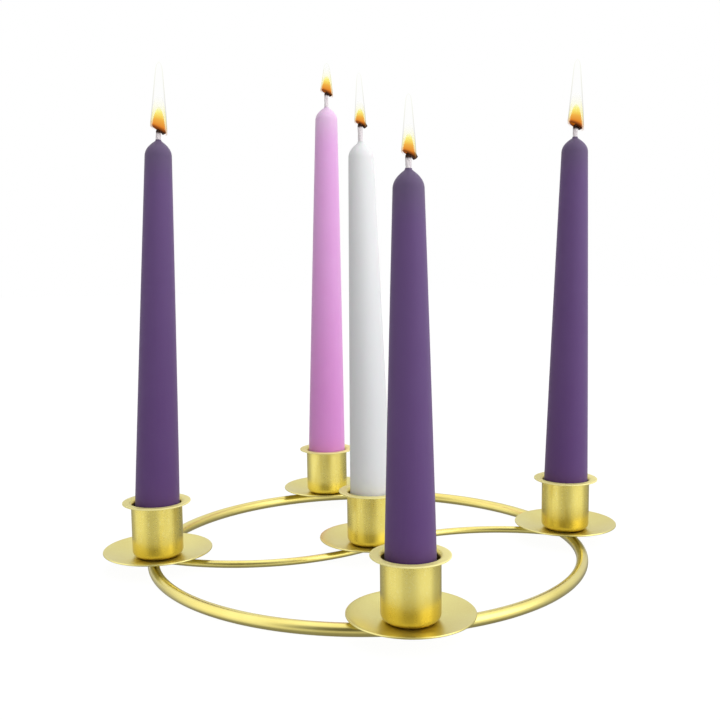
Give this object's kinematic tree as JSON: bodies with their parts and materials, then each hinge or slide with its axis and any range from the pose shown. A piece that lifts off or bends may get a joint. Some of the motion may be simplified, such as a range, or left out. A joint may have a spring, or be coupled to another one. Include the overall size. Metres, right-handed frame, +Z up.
{
  "type": "candle holder",
  "caption": "Metal ring candle holder with drip saucers and flanged cups for taper candles, one of them on an S-shaped bar across the middle.",
  "frame": {"origin": "on the table, under the middle of the ring", "axes": "+Z up; +X towards the right saucer, which the S-shaped bar reaches; +Y towards the back saucer"},
  "size_m": [0.284, 0.2864, 0.2678],
  "materials": {
    "holder_metal": "satin pale gold, lightly brushed",
    "purple_wax": "smooth dyed wax, slight sheen",
    "pink_wax": "smooth dyed wax, slight sheen",
    "white_wax": "smooth white wax, slight sheen",
    "wick": "charred plaited cotton",
    "flame": "glowing, clear towards the tip"
  },
  "bodies": {
    "holder": {"outer_ring": "holder_metal", "cross_bar": "holder_metal", "right_saucer": "holder_metal", "back_saucer": "holder_metal", "left_saucer": "holder_metal", "front_saucer": "holder_metal", "centre_saucer": "holder_metal", "right_cup": "holder_metal", "back_cup": "holder_metal", "left_cup": "holder_metal", "front_cup": "holder_metal", "centre_cup": "holder_metal"},
    "right_taper": {"right_candle": "purple_wax", "right_wick": "wick"},
    "back_taper": {"back_candle": "pink_wax", "back_wick": "wick"},
    "left_taper": {"left_candle": "purple_wax", "left_wick": "wick"},
    "front_taper": {"front_candle": "purple_wax", "front_wick": "wick"},
    "centre_taper": {"centre_candle": "white_wax", "centre_wick": "wick"}
  },
  "joints": [
    {"name": "right_taper_lift", "type": "slide", "parent": "holder", "child": "right_taper", "axis": [0, 0, 1], "range_m": [0, 0.045]},
    {"name": "back_taper_lift", "type": "slide", "parent": "holder", "child": "back_taper", "axis": [0, 0, 1], "range_m": [0, 0.045]},
    {"name": "left_taper_lift", "type": "slide", "parent": "holder", "child": "left_taper", "axis": [0, 0, 1], "range_m": [0, 0.045]},
    {"name": "front_taper_lift", "type": "slide", "parent": "holder", "child": "front_taper", "axis": [0, 0, 1], "range_m": [0, 0.045]},
    {"name": "centre_taper_lift", "type": "slide", "parent": "holder", "child": "centre_taper", "axis": [0, 0, 1], "range_m": [0, 0.045]}
  ]
}
